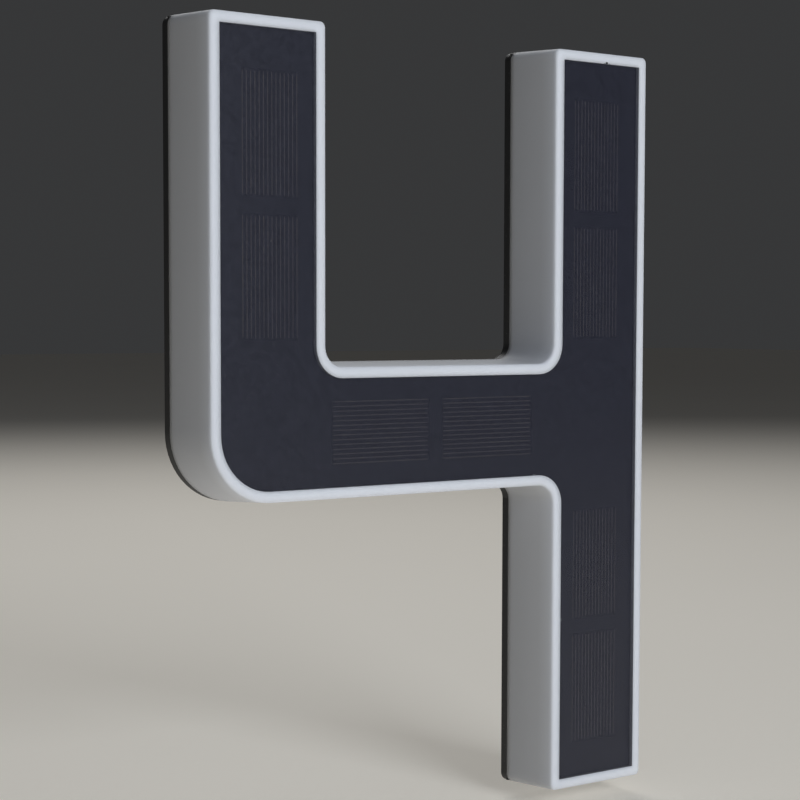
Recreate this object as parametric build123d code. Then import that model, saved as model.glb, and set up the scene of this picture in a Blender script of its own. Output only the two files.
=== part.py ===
from build123d import *
from math import atan, ceil, cos, degrees, pi, radians, sin, tan
import os

# A solar house number, the digit 4, for a wall. Millimetres.
# It is drawn lying on its back: X to the right, Y up the digit, Z out of the wall,
# with the wall's plane at z = 0 and the middle of the crossbar at the origin.
# The last step turns every piece upright, so that the front faces -Y and Z is up.

# ---------------------------------------------------------------- driving sizes

# The digit
digit_height = 200.0
digit_width = 139.4
stroke_width = 26.65
rim_width = 2.75
flare = 1.0
inside_corner_radius = 7.9
bend_radius = 13.7
rim_corner_radius = 1.4
front_edge_bevel = 0.3

# Front window and its seat in the diffuser
panel_thickness = 1.5
panel_side_gap = 0.1
tape_space = 0.2
tape_skin = 0.02
ledge_width = 1.6
ledge_thickness = 1.3
skirt_wall = 2.2

# Solar modules behind the window
cell_length = 30.0
cell_width = 15.6
cell_thickness = 0.25
cell_bond_gap = 0.1
cell_gap = 3.9
solar_board_thickness = 1.0
solar_board_margin = 0.9
solar_board_side_gap = 1.7
solder_tail = 4.0
upright_cell_margin = 9.6
lower_cell_margin = 9.0
crossbar_cell_margin = 32.0
arm_module_shift = 1.2
stem_module_shift = -0.5

# Back cover
cover_edge = 3.0
plate_thickness = 2.0
post_root = 1.0
cover_back_bevel = 0.5
lip_height = 2.5
lip_thickness = 1.2
lip_gap = 0.15
seal_width = 1.3
seal_depth = 0.8

# Cover screws and the bosses that take them
boss_radius = 2.8
boss_inset = 3.3
boss_rib = 1.6
cover_screw_radius = 1.2
cover_screw_bite = 8.0
cover_head_radius = 2.3
cover_head_height = 1.6
head_recess_depth = 2.2
screw_pad_wall = 1.0
screw_seat = 1.8
thread_gap = 0.05
screw_end_gap = 1.0
hole_gap = 0.25
head_gap = 0.3
drive_share = 0.6
drive_width = 0.7
drive_depth = 0.7
shank_sides = 6

# Keyhole hangers
keyhole_entry_radius = 4.2
keyhole_slot_width = 4.4
keyhole_travel = 8.0
keyhole_drop = 22.2
keyhole_head_room = 3.6
keyhole_wall = 1.2
keyhole_room_gap = 0.5

# Battery bay in the lower stem
battery_diameter = 14.5
battery_length = 50.5
battery_nub_radius = 2.75
battery_nub_length = 1.5
battery_side_gap = 0.3
bay_wall = 1.2
bay_floor = 1.0
bay_roof_gap = 0.35
bay_end_margin = 7.35
saddle_width = 3.0
saddle_gap = 0.1

# Battery door
door_thickness = 1.6
door_gap = 0.3
door_seat_width = 2.6
door_corner_radius = 3.0
door_end_land = 7.5
door_screw_inset = 3.0
door_screw_radius = 0.9
door_head_radius = 1.8
door_head_height = 0.9
door_boss_wall = 1.1
door_boss_height = 5.0
door_boss_end = 1.0
door_screw_end_gap = 1.0
door_head_setback = 0.1
door_seal_width = 1.8
door_seal_thickness = 0.75
door_seal_space = 0.8
door_seal_inset = 0.4
door_seal_corner = 2.0
door_rib = 1.0
door_rib_height = 1.2
seat_thickness = 1.4

# Battery contacts
contact_thickness = 0.4
contact_width = 10.0
contact_height = 11.0
tail_width = 3.0
tail_length = 2.2
tail_gap = 0.2
tail_clearance = 1.0
spring_wire = 0.6
spring_turns = 3.5
spring_cuts = 14
wire_sides = 6
spring_length = 4.2
spring_wide_radius = 4.4
spring_narrow_radius = 3.0

# Control board and power switch
control_width = 17.5
control_length = 32.0
control_shift = -2.9
control_gap = 9.2
board_thickness = 1.2
switch_length = 8.6
switch_width = 4.6
switch_height = 3.5
switch_wall = 0.6
switch_gap = 0.2
switch_cover_gap = 0.2
switch_travel = 2.0
switch_place = -3.0
knob_width = 1.8
knob_foot_length = 4.0
knob_foot_height = 1.0
knob_setback = 0.3
knob_groove_width = 0.4
knob_groove_depth = 0.3
dish_length = 11.0
dish_width = 6.5
dish_depth = 0.8
dish_corner_radius = 2.5
standoff_width = 4.2
rest_width = 2.6
board_screw_radius = 0.8
board_screw_bite = 4.0
board_head_radius = 1.6
board_head_height = 1.0
board_screw_inset = 2.6

# Parts on the control board, placed from its middle or its right edge
chip_width = 3.9
chip_length = 4.9
chip_height = 1.6
chip_standoff = 0.15
chip_legs = 4
chip_leg_pitch = 1.27
chip_leg_length = 1.4
chip_leg_width = 0.45
chip_leg_height = 0.5
chip_right = 0.5
chip_down = 4.5
choke_radius = 2.6
choke_core_radius = 1.9
choke_flange = 0.9
choke_height = 4.3
choke_left = 0.5
choke_up = 2.2
can_radius = 2.5
can_height = 5.4
can_base_width = 5.2
can_base_height = 0.8
can_inset = 3.4
can_up = 8.5

# LED boards
led_board_width = 10.0
led_board_thickness = 1.0
led_rail_height = 0.6
led_rail_width = 1.0
led_stop_width = 1.0
led_stop_length = 4.0
led_stop_gap = 0.12
led_pitch = 11.0
arm_led_margin = 10.0
keyhole_led_gap = 1.5
led_length = 3.5
led_width = 2.8
led_height = 0.8
board_spacing = 8.0
strip_width = 6.0
strip_length = 48.0

# Leads
lead_radius = 0.6
lead_arc_step = 25.0
lead_gap = 0.05
lead_pair = 3.0
lead_landing = 3.5
lead_free = 4.0

# How far a cutting shape runs past the face that it cuts
cut_overlap = 1.0

# ---------------------------------------------------------------- derived sizes

back_offset = rim_width + flare
window_height = digit_height - 2 * back_offset
window_width = digit_width - 2 * back_offset
window_top = window_height / 2
window_side = window_width / 2
half_stroke = stroke_width / 2
stem_x = window_side - half_stroke
arm_x = -stem_x

# Heights out of the wall, from the battery bay forward to the window
battery_axis = door_thickness + battery_side_gap + battery_diameter / 2
bay_inner_front = battery_axis + battery_diameter / 2 + battery_side_gap
bay_front = bay_inner_front + bay_floor
solar_board_back = bay_front + bay_roof_gap
solar_board_front = solar_board_back + solar_board_thickness
cell_front = solar_board_front + cell_thickness
panel_back = cell_front + cell_bond_gap
overall_depth = panel_back + panel_thickness
ledge_front = panel_back - tape_space
ledge_back = ledge_front - ledge_thickness

skirt_depth = overall_depth - cover_edge
draft_angle = degrees(atan(flare / skirt_depth))
lip_top = cover_edge + lip_height
pad_top = head_recess_depth + screw_seat


def cavity_offset(depth):
    """How far outside the window's edge the skirt's inner face lies at a depth."""
    return back_offset - skirt_wall - flare * (depth - cover_edge) / skirt_depth


lip_outer = cavity_offset(lip_top) - lip_gap
lip_inner = lip_outer - lip_thickness
seal_outer = back_offset - (skirt_wall - seal_width) / 2
seal_inner = seal_outer - seal_width

# ---------------------------------------------------------------- basic shapes


def digit_outline(offset, end_radius=0):
    """The digit's closed outline, set outside the window's edge by an offset.
    The corners of the three stroke ends are sharp unless they get a radius."""
    left = -window_side - offset
    right = window_side + offset
    arm_inner = arm_x + half_stroke + offset
    stem_inner = stem_x - half_stroke - offset
    top = window_top + offset
    bottom = -window_top - offset
    notch_floor = half_stroke + offset
    bar_bottom = -half_stroke - offset
    inside = inside_corner_radius - offset
    corners = [
        (left, top, end_radius),
        (left, bar_bottom, bend_radius + offset),
        (stem_inner, bar_bottom, inside),
        (stem_inner, bottom, end_radius),
        (right, bottom, end_radius),
        (right, top, end_radius),
        (stem_inner, top, end_radius),
        (stem_inner, notch_floor, inside),
        (arm_inner, notch_floor, inside),
        (arm_inner, top, end_radius),
    ]
    points = [(x, y) for x, y, radius in corners]
    radii = [radius for x, y, radius in corners]
    return make_face(FilletPolyline(*points, radius=radii, close=True))


def slab(face, low, high):
    """A flat face raised from one depth to another."""
    return extrude(Pos(0, 0, low) * face, amount=high - low)


def drafted(offset, end_radius, low, high):
    """A digit whose sides draw in by the skirt's draft from low to high."""
    return extrude(Pos(0, 0, low) * digit_outline(offset, end_radius), high - low, taper=draft_angle)


def ring(outer, inner, low, high):
    """A band that follows the digit between two offsets."""
    outside = slab(digit_outline(outer), low, high)
    return outside - slab(digit_outline(inner), low - cut_overlap, high + cut_overlap)


def rod(x, y, radius, low, high):
    """A round post square to the wall."""
    return slab(Pos(x, y) * Circle(radius), low, high)


def plate(x, y, width, height, low, high, corner=0.0):
    """A rectangular plate parallel to the wall, centred on x, y."""
    face = RectangleRounded(width, height, corner) if corner else Rectangle(width, height)
    return slab(Pos(x, y) * face, low, high)


def screw_shank(x, y, radius, low, high):
    """A screw's shank, whose flats stand for its thread's core."""
    return slab(Pos(x, y) * RegularPolygon(radius, shank_sides), low, high)


def cross_drive(x, y, head_radius, low, high):
    """The cross of a screw's drive recess."""
    reach = drive_share * head_radius
    across = plate(x, y, 2 * reach, drive_width, low, high)
    return across + plate(x, y, drive_width, 2 * reach, low, high)


def group(*pieces):
    """Several separate solids held as one sub-part."""
    return Compound([solid for piece in pieces for solid in piece.solids()])


def save(shape, name):
    """Stands a piece upright and writes it as its own sub-part."""
    export_step(Rot(90, 0, 0) * shape, f"parts/{name}.step")


# ---------------------------------------------------------------- places

# Cover screws: the three stroke ends, the rounded bend and the stem's right side.
# Each has its centre and the direction to the wall that its boss is tied to.
bend_centre_x = -window_side + bend_radius
bend_centre_y = -half_stroke + bend_radius
bend_reach = (bend_radius - boss_inset) * cos(radians(45))
cover_screw_places = [
    (arm_x, window_top - boss_inset, 90),
    (stem_x, window_top - boss_inset, 90),
    (stem_x, -window_top + boss_inset, -90),
    (bend_centre_x - bend_reach, bend_centre_y - bend_reach, -135),
    (window_side - boss_inset, 0, 0),
]

# Battery bay, from the lower end of the stem upwards
bay_half_width = battery_diameter / 2 + battery_side_gap
bay_length = battery_length + spring_length + 2 * contact_thickness
door_half_width = bay_half_width + door_seat_width
door_length = bay_length + 2 * door_end_land
well_half_width = door_half_width + door_gap + bay_wall
well_length = door_length + 2 * (door_gap + bay_wall)
bay_y = -window_top + bay_end_margin + well_length / 2
bay_top = bay_y + bay_length / 2
bay_bottom = bay_y - bay_length / 2
tub_top = bay_top + bay_wall
well_top = door_thickness + door_seal_space + seat_thickness
tail_z = well_top + door_boss_height + tail_clearance
door_screw_ys = [bay_y - door_length / 2 + door_screw_inset, bay_y + door_length / 2 - door_screw_inset]

# Control board above the bay, with the switch under it
control_x = stem_x + control_shift
control_bottom = tub_top + control_gap
control_y = control_bottom + control_length / 2
control_top = control_bottom + control_length
control_back = plate_thickness + switch_cover_gap + switch_height
control_front = control_back + board_thickness
control_left = control_x - control_width / 2
control_right = control_x + control_width / 2
board_screw_places = [
    (control_left + board_screw_inset, control_top - board_screw_inset),
    (control_right - board_screw_inset, control_y + board_screw_inset),
]
board_rest_places = [
    (control_left + board_screw_inset, control_bottom + board_screw_inset),
    (control_right - board_screw_inset, control_bottom + board_screw_inset),
]
switch_y = control_y + switch_place

# Keyholes near the tops of the arm and the stem
keyhole_y = window_top - keyhole_drop
keyhole_room_reach = keyhole_entry_radius + keyhole_room_gap
keyhole_box_reach = keyhole_room_reach + keyhole_wall
keyhole_room_top = plate_thickness + keyhole_head_room

# LED boards lie on the cover: centre x, centre y, length, upright or not
led_board_back = plate_thickness + led_rail_height
led_board_front = led_board_back + led_board_thickness
led_top_limit = keyhole_y - keyhole_box_reach - keyhole_led_gap
arm_led_low = half_stroke + arm_led_margin
stem_led_low = control_top + board_spacing
crossbar_led_left = -window_side + crossbar_cell_margin
crossbar_led_right = control_left - board_spacing
led_boards = {
    "left_arm": (arm_x, (arm_led_low + led_top_limit) / 2, led_top_limit - arm_led_low, True),
    "crossbar": (
        (crossbar_led_left + crossbar_led_right) / 2,
        0,
        crossbar_led_right - crossbar_led_left,
        False,
    ),
    "upper_stem": (stem_x, (stem_led_low + led_top_limit) / 2, led_top_limit - stem_led_low, True),
}
strip_depth_centre = (well_top + bay_front) / 2
strip_y = bay_y

# Solar modules: centre x, centre y, upright or not, and which ends have a solder tail
module_half = cell_length + cell_gap / 2
upright_module_y = window_top - upright_cell_margin - module_half
solar_modules = {
    "left_arm": (arm_x + arm_module_shift, upright_module_y, True, (-1,)),
    "crossbar": (-window_side + crossbar_cell_margin + module_half, 0, False, (-1, 1)),
    "upper_stem": (stem_x + stem_module_shift, upright_module_y, True, (-1,)),
    "lower_stem": (stem_x, -window_top + lower_cell_margin + module_half, True, (1,)),
}
tail_reach = module_half + solar_board_margin + solder_tail / 2

# ---------------------------------------------------------------- diffuser body


def diffuser_body():
    """The opal skirt: drafted sides, a stepped front rim and screw bosses."""
    outer = drafted(back_offset, rim_corner_radius + flare, cover_edge, overall_depth)
    front_rim = outer.faces().sort_by(Axis.Z)[-1].outer_wire().edges()
    outer = chamfer(front_rim, front_edge_bevel)
    cavity = drafted(cavity_offset(cover_edge), 0, cover_edge, ledge_back)
    light_opening = slab(digit_outline(-ledge_width), ledge_back - cut_overlap, panel_back)
    seat = slab(digit_outline(panel_side_gap), ledge_front, overall_depth + cut_overlap)
    body = outer - cavity - light_opening - seat
    for x, y, heading in cover_screw_places:
        body += rod(x, y, boss_radius, pad_top, ledge_front)
        rib_length = boss_inset + skirt_wall / 2
        rib = plate(rib_length / 2, 0, rib_length, boss_rib, lip_top + lip_gap, ledge_front)
        body += Pos(x, y) * Rot(0, 0, heading) * rib
    for x, y, heading in cover_screw_places:
        hole_top = head_recess_depth + cover_screw_bite + screw_end_gap
        body -= rod(x, y, cover_screw_radius + thread_gap, pad_top - cut_overlap, hole_top)
    return body


# ---------------------------------------------------------------- window


def front_panel():
    """The smoked window, a flat sheet cut to the digit."""
    return slab(digit_outline(0), panel_back, overall_depth)


def panel_tape():
    """The dark adhesive band that holds the window on its ledge."""
    inset = panel_side_gap
    low = ledge_front + tape_skin
    high = panel_back - tape_skin
    return ring(-inset, inset - ledge_width, low, high)


def solar_board(x, y, upright, tail_ends):
    """A module's dark circuit board, with a bare tail for its leads."""
    length = 2 * (module_half + solar_board_margin) + solder_tail * len(tail_ends)
    width = stroke_width - 2 * (ledge_width + solar_board_side_gap)
    shift = sum(tail_ends) * solder_tail / 2
    if upright:
        return plate(x, y + shift, width, length, solar_board_back, solar_board_front)
    return plate(x + shift, y, length, width, solar_board_back, solar_board_front)


def solar_cells(x, y, upright):
    """The two silicon cells of a module, side by side along it."""
    reach = (cell_length + cell_gap) / 2
    cells = []
    for side in (1, -1):
        if upright:
            cell = plate(x, y + side * reach, cell_width, cell_length, solar_board_front, cell_front)
        else:
            cell = plate(x + side * reach, y, cell_length, cell_width, solar_board_front, cell_front)
        cells.append(cell)
    return group(*cells)


# ---------------------------------------------------------------- back cover


def keyhole_block(x):
    """The closed box that stands on the cover behind a keyhole."""
    width = 2 * keyhole_box_reach
    height = keyhole_travel + width
    return plate(x, keyhole_y + keyhole_travel / 2, width, height, 0, keyhole_room_top + keyhole_wall)


def keyhole_cut(x):
    """The round entry, the narrow slot above it and the head's room behind them."""
    middle = keyhole_y + keyhole_travel / 2
    low = -cut_overlap
    high = plate_thickness + cut_overlap
    entry = rod(x, keyhole_y, keyhole_entry_radius, low, high)
    slot = plate(x, middle, keyhole_slot_width, keyhole_travel, low, high)
    slot_end = rod(x, keyhole_y + keyhole_travel, keyhole_slot_width / 2, low, high)
    width = 2 * keyhole_room_reach
    room = plate(x, middle, width, keyhole_travel + width, plate_thickness, keyhole_room_top)
    return entry + slot + slot_end + room


def battery_bay():
    """The door's well with the seat for its seal, and the tub that holds the battery."""
    well = plate(stem_x, bay_y, 2 * well_half_width, well_length, 0, well_top)
    tub_width = 2 * (bay_half_width + bay_wall)
    tub = plate(stem_x, bay_y, tub_width, bay_length + 2 * bay_wall, 0, bay_front)
    boss_width = 2 * (door_screw_radius + door_gap + door_boss_wall)
    bay = well + tub
    for y in door_screw_ys:
        bay += plate(stem_x, y, boss_width, boss_width, 0, well_top + door_boss_height)
    return bay


def battery_bay_cut():
    """The door's recess, the battery's room, the screw holes and the slots for the tails."""
    recess_width = 2 * (door_half_width + door_gap)
    recess_length = door_length + 2 * door_gap
    seat_depth = door_thickness + door_seal_space
    cut = plate(stem_x, bay_y, recess_width, recess_length, -cut_overlap, seat_depth, door_corner_radius)
    cut += plate(stem_x, bay_y, 2 * bay_half_width, bay_length, 0, bay_inner_front)
    for y in door_screw_ys:
        cut += rod(stem_x, y, door_screw_radius + door_gap, 0, well_top + door_boss_height - door_boss_end)
    slot_width = tail_width + 2 * tail_gap
    slot_height = contact_thickness + 2 * tail_gap
    for y in (bay_top, bay_bottom):
        cut += plate(stem_x, y, slot_width, 3 * bay_wall, tail_z - slot_height / 2, tail_z + slot_height / 2)
    return cut


def battery_saddles():
    """Two ribs across the tub's floor, hollowed to cradle the battery."""
    saddles = []
    for side in (-1, 1):
        y = bay_y + side * bay_length / 4
        low = battery_axis + battery_diameter / 4
        rib = plate(stem_x, y, 2 * bay_half_width, saddle_width, low, bay_inner_front)
        hollow = Cylinder(battery_diameter / 2 + saddle_gap, 2 * saddle_width)
        saddles.append(rib - Pos(stem_x, y, battery_axis) * Rot(90, 0, 0) * hollow)
    return saddles


def led_seat(x, y, length, upright):
    """Two rails under an LED board and the stops at its two ends."""
    pieces = []
    for side in (-1, 1):
        rail_y = side * (led_board_width / 2 - led_rail_width)
        stop_x = side * (length / 2 + led_stop_gap + led_stop_width / 2)
        pieces.append(plate(0, rail_y, length - led_stop_length, led_rail_width, post_root, led_board_back))
        pieces.append(plate(stop_x, 0, led_stop_width, led_stop_length, post_root, led_board_front))
    turn = 90 if upright else 0
    return [Pos(x, y) * Rot(0, 0, turn) * piece for piece in pieces]


def back_cover():
    """The black tray that closes the back, with everything moulded into it."""
    cover = slab(digit_outline(back_offset, rim_corner_radius + flare), 0, cover_edge)
    cover += slab(digit_outline(lip_outer), cover_edge, lip_top)
    cover -= slab(digit_outline(lip_inner), plate_thickness, lip_top + cut_overlap)
    back_edges = cover.faces().sort_by(Axis.Z)[0].outer_wire().edges()
    cover = chamfer(back_edges, cover_back_bevel)
    cover -= ring(seal_outer, seal_inner, cover_edge - seal_depth, cover_edge + cut_overlap)
    pad_width = 2 * (cover_head_radius + head_gap + screw_pad_wall)
    for x, y, heading in cover_screw_places:
        pad = plate(x, y, pad_width, pad_width, 0, pad_top)
        cover += pad & slab(digit_outline(lip_outer), 0, pad_top)
    for x in (arm_x, stem_x):
        cover += keyhole_block(x)
    cover += battery_bay()
    for x, y in board_screw_places:
        cover += plate(x, y, standoff_width, standoff_width, post_root, control_back)
    for x, y in board_rest_places:
        cover += plate(x, y, rest_width, rest_width, post_root, control_back)
    for x, y, length, upright in led_boards.values():
        for piece in led_seat(x, y, length, upright):
            cover += piece
    cover -= battery_bay_cut()
    for saddle in battery_saddles():
        cover += saddle
    for x in (arm_x, stem_x):
        cover -= keyhole_cut(x)
    for x, y, heading in cover_screw_places:
        cover -= rod(x, y, cover_head_radius + head_gap, -cut_overlap, head_recess_depth)
        cover -= rod(x, y, cover_screw_radius + hole_gap, -cut_overlap, pad_top + cut_overlap)
    for x, y in board_screw_places:
        hole_low = control_back - board_screw_bite
        cover -= rod(x, y, board_screw_radius + thread_gap, hole_low, control_back + cut_overlap)
    cover -= plate(control_x, switch_y, dish_length, dish_width, -cut_overlap, dish_depth, dish_corner_radius)
    slot_length = knob_width + switch_travel + 2 * door_gap
    slot_width = knob_width + 2 * door_gap
    cover -= plate(control_x, switch_y, slot_length, slot_width, -cut_overlap, plate_thickness + cut_overlap)
    return cover


def cover_seal():
    """The soft cord in the cover's groove, pressed by the skirt's back edge."""
    return ring(seal_outer, seal_inner, cover_edge - seal_depth, cover_edge)


def cover_screw(x, y):
    """A pan-head screw, driven from behind through the cover into a boss."""
    head_low = head_recess_depth - cover_head_height
    head = rod(x, y, cover_head_radius, head_low, head_recess_depth)
    shank = screw_shank(x, y, cover_screw_radius, head_recess_depth, head_recess_depth + cover_screw_bite)
    drive = cross_drive(x, y, cover_head_radius, head_low - cut_overlap, head_low + drive_depth)
    return head + shank - drive


# ---------------------------------------------------------------- battery and door


def battery():
    """A rechargeable cell: a plain can and its raised contact."""
    can_length = battery_length - battery_nub_length
    can = rod(0, 0, battery_diameter / 2, 0, can_length)
    can += rod(0, 0, battery_nub_radius, can_length, battery_length)
    low_end = bay_bottom + contact_thickness + spring_length
    return Pos(stem_x, low_end, battery_axis) * Rot(-90, 0, 0) * can


def contact_plate(wall_y, inward):
    """A nickel plate against a wall of the bay, with a tail through the wall."""
    centre_y = wall_y + inward * contact_thickness / 2
    face = Box(contact_width, contact_thickness, contact_height)
    blade = Pos(stem_x, centre_y, battery_axis) * face
    tail = Box(tail_width, bay_wall + tail_length, contact_thickness)
    tail_y = wall_y - inward * (bay_wall + tail_length) / 2
    return blade + Pos(stem_x, tail_y, tail_z) * tail


def battery_contact_positive():
    """The upper plate, which the battery's nub presses on."""
    return contact_plate(bay_top, -1)


def battery_contact_negative():
    """The lower plate, which carries the spring."""
    return contact_plate(bay_bottom, 1)


def spring_point(turn):
    """A point on the tapered spring's centre line, after a number of turns."""
    share = turn / spring_turns
    radius = spring_wide_radius + (spring_narrow_radius - spring_wide_radius) * share
    height = spring_wire / 2 + (spring_length - spring_wire) * share
    return Vector(radius * cos(2 * pi * turn), radius * sin(2 * pi * turn), height)


def spring_way(turn):
    """The spring's direction at a point, from two points close beside it."""
    step = 0.0001
    return (spring_point(turn + step) - spring_point(turn - step)).normalized()


def battery_spring():
    """The negative contact's tapered coil, one wire drawn through cuts along its turns."""
    cuts = []
    for index in range(round(spring_turns * spring_cuts) + 1):
        turn = index / spring_cuts
        way = spring_way(turn)
        outward = Vector(cos(2 * pi * turn), sin(2 * pi * turn), 0)
        across = outward - way * outward.dot(way)
        cut = Plane(origin=spring_point(turn), x_dir=across, z_dir=way)
        cuts.append(cut * RegularPolygon(spring_wire / 2, wire_sides))
    coil = loft(cuts, ruled=True)
    low_end = bay_bottom + contact_thickness
    return Pos(stem_x, low_end, battery_axis) * Rot(-90, 0, 0) * coil


def spring_self_gap():
    """The least distance between the wire's surfaces on neighbouring turns."""
    steps = 48
    count = int(spring_turns * steps)
    points = [spring_point(index / steps) for index in range(count + 1)]
    least = min(
        (points[i] - points[j]).length
        for i in range(count + 1)
        for j in range(i + steps // 2, count + 1)
    )
    return least - spring_wire


def battery_door():
    """The flat door, with a rib that enters the bay and two sunk screw holes."""
    door_width = 2 * door_half_width
    corner = door_corner_radius - door_gap
    door = plate(stem_x, bay_y, door_width, door_length, 0, door_thickness, corner)
    rib_width = 2 * (bay_half_width - door_gap)
    rib_length = bay_length - 2 * (door_gap + contact_thickness)
    rib_top = door_thickness + door_rib_height
    rib = plate(stem_x, bay_y, rib_width, rib_length, door_thickness, rib_top)
    rib -= plate(stem_x, bay_y, rib_width - 2 * door_rib, rib_length - 2 * door_rib, door_thickness, rib_top)
    spring_room = Pos(stem_x, bay_y, battery_axis) * Rot(90, 0, 0)
    rib -= spring_room * Cylinder(battery_diameter / 2 + door_gap, bay_length)
    door += rib
    for y in door_screw_ys:
        door -= rod(stem_x, y, door_head_radius + thread_gap, -cut_overlap, door_head_height)
        door -= rod(stem_x, y, door_screw_radius + thread_gap, -cut_overlap, door_thickness + cut_overlap)
    return door


def battery_door_seal():
    """The soft frame on the door's inner face, outside the mouth of the bay."""
    inner_width = 2 * (bay_half_width + door_seal_inset)
    inner_length = bay_length + 2 * door_seal_inset
    high = door_thickness + door_seal_thickness
    outer_width = inner_width + 2 * door_seal_width
    outer_length = inner_length + 2 * door_seal_width
    frame = plate(stem_x, bay_y, outer_width, outer_length, door_thickness, high, door_seal_corner)
    low = door_thickness - cut_overlap
    return frame - plate(stem_x, bay_y, inner_width, inner_length, low, high + cut_overlap)


def battery_door_screw(y):
    """A flush screw that stays in the door."""
    head = rod(stem_x, y, door_head_radius, door_head_setback, door_head_height)
    end = well_top + door_boss_height - door_boss_end - door_screw_end_gap
    shank = screw_shank(stem_x, y, door_screw_radius, door_head_height, end)
    drive = cross_drive(stem_x, y, door_head_radius, -cut_overlap, drive_depth)
    return head + shank - drive


# ---------------------------------------------------------------- electronics


def control_board():
    """The charge and light control board, on two standoffs of the cover."""
    board = plate(control_x, control_y, control_width, control_length, control_back, control_front)
    hole_low = control_back - cut_overlap
    for x, y in board_screw_places:
        board -= rod(x, y, board_screw_radius + hole_gap, hole_low, control_front + cut_overlap)
    return board


def board_screw(x, y):
    """A small pan-head screw through the control board."""
    head = rod(x, y, board_head_radius, control_front, control_front + board_head_height)
    shank = screw_shank(x, y, board_screw_radius, control_front - board_screw_bite, control_front)
    top = control_front + board_head_height
    return head + shank - cross_drive(x, y, board_head_radius, top - drive_depth, top + cut_overlap)


def control_chip():
    """The controller, a small package with four legs on each side."""
    body = plate(0, 0, chip_width, chip_length, chip_standoff, chip_height)
    for side in (-1, 1):
        for index in range(chip_legs):
            leg_y = (index - (chip_legs - 1) / 2) * chip_leg_pitch
            leg_x = side * (chip_width / 2 + chip_leg_length / 3)
            body += plate(leg_x, leg_y, chip_leg_length, chip_leg_width, 0, chip_leg_height)
    return Pos(control_x + chip_right, control_y - chip_down, control_front) * body


def boost_inductor():
    """The step-up converter's wound choke: a drum core on a square foot."""
    width = 2 * choke_radius
    top_flange = choke_height - choke_flange
    foot = plate(0, 0, width, width, 0, choke_flange)
    core = rod(0, 0, choke_core_radius, choke_flange, top_flange)
    cap = rod(0, 0, choke_radius, top_flange, choke_height)
    return Pos(control_x - choke_left, control_y + choke_up, control_front) * (foot + core + cap)


def smoothing_capacitor():
    """An upright electrolytic can on its square base."""
    base = plate(0, 0, can_base_width, can_base_width, 0, can_base_height)
    can = rod(0, 0, can_radius, can_base_height, can_height)
    return Pos(control_right - can_inset, control_y + can_up, control_front) * (base + can)


def switch_body():
    """The slide switch's case, open towards the wall for its knob."""
    high = control_back
    low = high - switch_height
    case = plate(control_x, switch_y, switch_length, switch_width, low, high)
    room_length = switch_length - 2 * switch_wall
    room_width = switch_width - 2 * switch_wall
    room_top = low + switch_wall + knob_foot_height + 2 * switch_gap
    case -= plate(control_x, switch_y, room_length, room_width, low + switch_wall, room_top)
    slot_length = knob_width + switch_travel + 2 * switch_gap
    slot_width = knob_width + 2 * switch_gap
    slot_top = low + switch_wall + cut_overlap
    case -= plate(control_x, switch_y, slot_length, slot_width, low - cut_overlap, slot_top)
    return case


def switch_knob():
    """The sliding knob, drawn at its off end, with a foot inside the case."""
    x = control_x - switch_travel / 2
    low = control_back - switch_height
    foot_low = low + switch_wall + switch_gap
    foot_length = min(knob_foot_length, switch_length - 2 * switch_wall - switch_travel - 2 * switch_gap)
    foot_width = switch_width - 2 * switch_wall - 2 * switch_gap
    foot = plate(x, switch_y, foot_length, foot_width, foot_low, foot_low + knob_foot_height)
    knob = plate(x, switch_y, knob_width, knob_width, knob_setback, foot_low)
    groove_low = knob_setback - cut_overlap
    groove_top = knob_setback + knob_groove_depth
    groove = plate(x, switch_y, knob_groove_width, 2 * knob_width, groove_low, groove_top)
    return foot + knob - groove


def led_board(x, y, length, upright):
    """A narrow white board."""
    board = plate(0, 0, length, led_board_width, led_board_back, led_board_front)
    return Pos(x, y) * Rot(0, 0, 90 if upright else 0) * board


def led_places(length):
    """Evenly spaced places along a board, clear of its soldered ends."""
    room = length - 2 * led_board_width
    count = max(2, int(room / led_pitch) + 1)
    return [(index - (count - 1) / 2) * room / (count - 1) for index in range(count)]


def board_leds(x, y, length, upright):
    """The lamps of one flat board."""
    lamps = []
    for place in led_places(length):
        lamp = plate(place, 0, led_length, led_width, led_board_front, led_board_front + led_height)
        lamps.append(Pos(x, y) * Rot(0, 0, 90 if upright else 0) * lamp)
    return lamps


def side_strips():
    """Two boards on the flanks of the battery tub, which light the skirt beside it."""
    reach = bay_half_width + bay_wall + led_board_thickness / 2
    board = Box(led_board_thickness, strip_length, strip_width)
    return [Pos(stem_x + side * reach, strip_y, strip_depth_centre) * board for side in (-1, 1)]


def strip_leds():
    """The lamps of the two side boards, facing left and right."""
    reach = bay_half_width + bay_wall + led_board_thickness + led_height / 2
    lamps = []
    for side in (-1, 1):
        for place in led_places(strip_length):
            lamp = Box(led_height, led_length, led_width)
            lamps.append(Pos(stem_x + side * reach, strip_y + place, strip_depth_centre) * lamp)
    return lamps


# ---------------------------------------------------------------- leads

lead_notes = []
solar_lead_z = solar_board_back - lead_radius - lead_gap
led_lead_z = led_board_front + lead_radius + lead_gap
control_lead_z = control_front + lead_radius + lead_gap
tail_lead_z = tail_z + contact_thickness / 2 + lead_radius + lead_gap


def stations(path):
    """Points and directions along a path: the ends of its runs and a few on each arc."""
    marks = []
    for edge in path.edges():
        count = 1
        if edge.geom_type != GeomType.LINE:
            count = ceil((edge % 0).get_angle(edge % 1) / lead_arc_step)
        marks += [(edge @ (index / count), edge % (index / count)) for index in range(count)]
    last = path.edges()[-1]
    return marks + [(last @ 1, last % 1)]


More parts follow.
